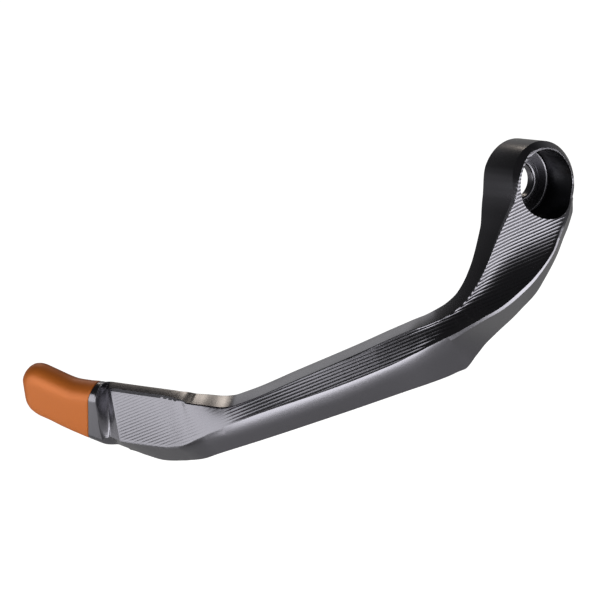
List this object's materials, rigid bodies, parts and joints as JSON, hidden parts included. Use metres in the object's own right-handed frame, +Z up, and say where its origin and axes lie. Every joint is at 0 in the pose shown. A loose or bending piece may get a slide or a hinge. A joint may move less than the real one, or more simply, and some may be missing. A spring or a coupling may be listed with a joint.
{
  "type": "brake lever guard",
  "caption": "Curved machined aluminium guard arm that stands in front of a motorcycle brake lever, with a bored eye for the bar end and a screwed end cap.",
  "frame": {"origin": "centre of the bar-end bolt hole on the seat face of the eye, the face that meets the end of the handlebar", "axes": "+X outboard along the handlebar, out of the counterbore's mouth; -Y forward, the way the motorcycle rides; +Z up"},
  "size_m": [0.1698, 0.1492, 0.0631],
  "materials": {
    "black_anodised_aluminium": "satin black anodised, machined",
    "orange_anodised_aluminium": "satin orange anodised",
    "screw_steel": "black oxide"
  },
  "bodies": {
    "root": {"guard_arm": "black_anodised_aluminium", "tip": "orange_anodised_aluminium", "tip_screw": "screw_steel"}
  },
  "joints": []
}
